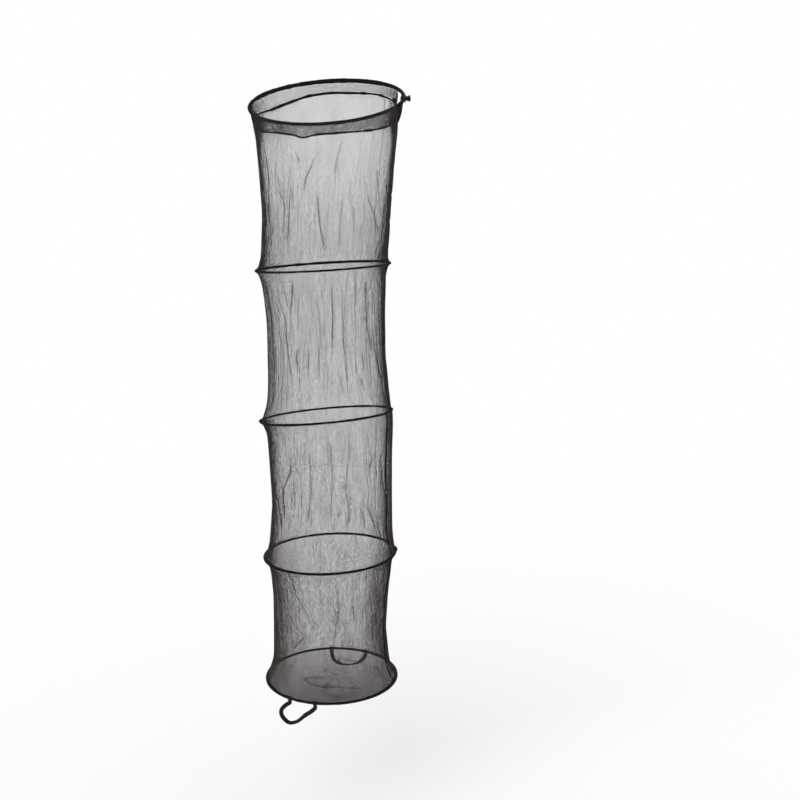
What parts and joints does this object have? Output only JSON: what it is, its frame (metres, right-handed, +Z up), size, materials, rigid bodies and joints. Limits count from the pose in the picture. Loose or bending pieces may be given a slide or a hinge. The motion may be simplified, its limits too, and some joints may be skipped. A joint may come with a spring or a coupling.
{
  "type": "keep net",
  "caption": "Long tube of fine mesh on hoops that hangs from a bank stick by its stud and keeps a catch alive in the water.",
  "frame": {"origin": "middle of the end face of the bank-stick stud", "axes": "+X the way the stud points out of the mouth ring, which hangs tilted 5.4 degrees, +Z up, -Y towards the viewer"},
  "size_m": [0.5359, 0.5194, 2.075],
  "materials": {
    "coated_steel": "satin",
    "casing_cloth": "matte",
    "netting": "matte",
    "hem_tape": "matte",
    "moulded_nylon": "satin",
    "black_brass": "satin",
    "screw_steel": "satin",
    "webbing": "matte"
  },
  "bodies": {
    "mouth": {"mouth_ring": "coated_steel", "mouth_sleeve": "casing_cloth", "mouth_collar": "netting", "collar_hem": "hem_tape", "hem_end_tab": "hem_tape", "connector_block": "moulded_nylon", "rod_end_screw_1": "screw_steel", "rod_end_screw_2": "screw_steel", "bank_stick_stud": "black_brass", "bay_1_net": "netting"},
    "lock_nut": {"lock_nut": "moulded_nylon"},
    "ring_2": {"ring_2": "coated_steel", "ring_2_casing": "casing_cloth", "bay_2_net": "netting"},
    "ring_3": {"ring_3": "coated_steel", "ring_3_casing": "casing_cloth", "bay_3_net": "netting"},
    "ring_4": {"ring_4": "coated_steel", "ring_4_casing": "casing_cloth", "bay_4_net": "netting"},
    "base": {"base_ring": "coated_steel", "base_casing": "casing_cloth", "base_net": "netting", "near_handle_wrap_1": "webbing", "near_handle_wrap_2": "webbing", "far_handle_wrap_1": "webbing", "far_handle_wrap_2": "webbing"},
    "near_handle": {"near_handle": "webbing", "near_handle_tab": "webbing"},
    "far_handle": {"far_handle": "webbing", "far_handle_tab": "webbing"}
  },
  "joints": [
    {"name": "ring_2_slide", "type": "slide", "parent": "mouth", "child": "ring_2", "axis": [0, 0, 1], "range_m": [0, 0.455], "deforming": ["bay_1_net"]},
    {"name": "ring_3_slide", "type": "slide", "parent": "ring_2", "child": "ring_3", "axis": [0, 0, 1], "range_m": [0, 0.469], "deforming": ["bay_2_net"]},
    {"name": "ring_4_slide", "type": "slide", "parent": "ring_3", "child": "ring_4", "axis": [0, 0, 1], "range_m": [0, 0.443], "deforming": ["bay_3_net"]},
    {"name": "base_slide", "type": "slide", "parent": "ring_4", "child": "base", "axis": [0, 0, 1], "range_m": [0, 0.4], "deforming": ["bay_4_net"]},
    {"name": "lock_nut_turn", "type": "hinge", "parent": "mouth", "child": "lock_nut", "pos_m": [-0.0075, 0, -0.00071], "axis": [0.9956, 0, 0.0941], "range_deg": [-180, 180]},
    {"name": "near_handle_swing", "type": "hinge", "parent": "base", "child": "near_handle", "pos_m": [-0.37395, -0.21441, -1.97719], "axis": [0.8949, -0.4462, -0.0086], "range_deg": [-75, 75]},
    {"name": "far_handle_swing", "type": "hinge", "parent": "base", "child": "far_handle", "pos_m": [-0.21318, 0.18755, -1.98042], "axis": [-0.9563, 0.2924, 0.0098], "range_deg": [-75, 75]}
  ]
}
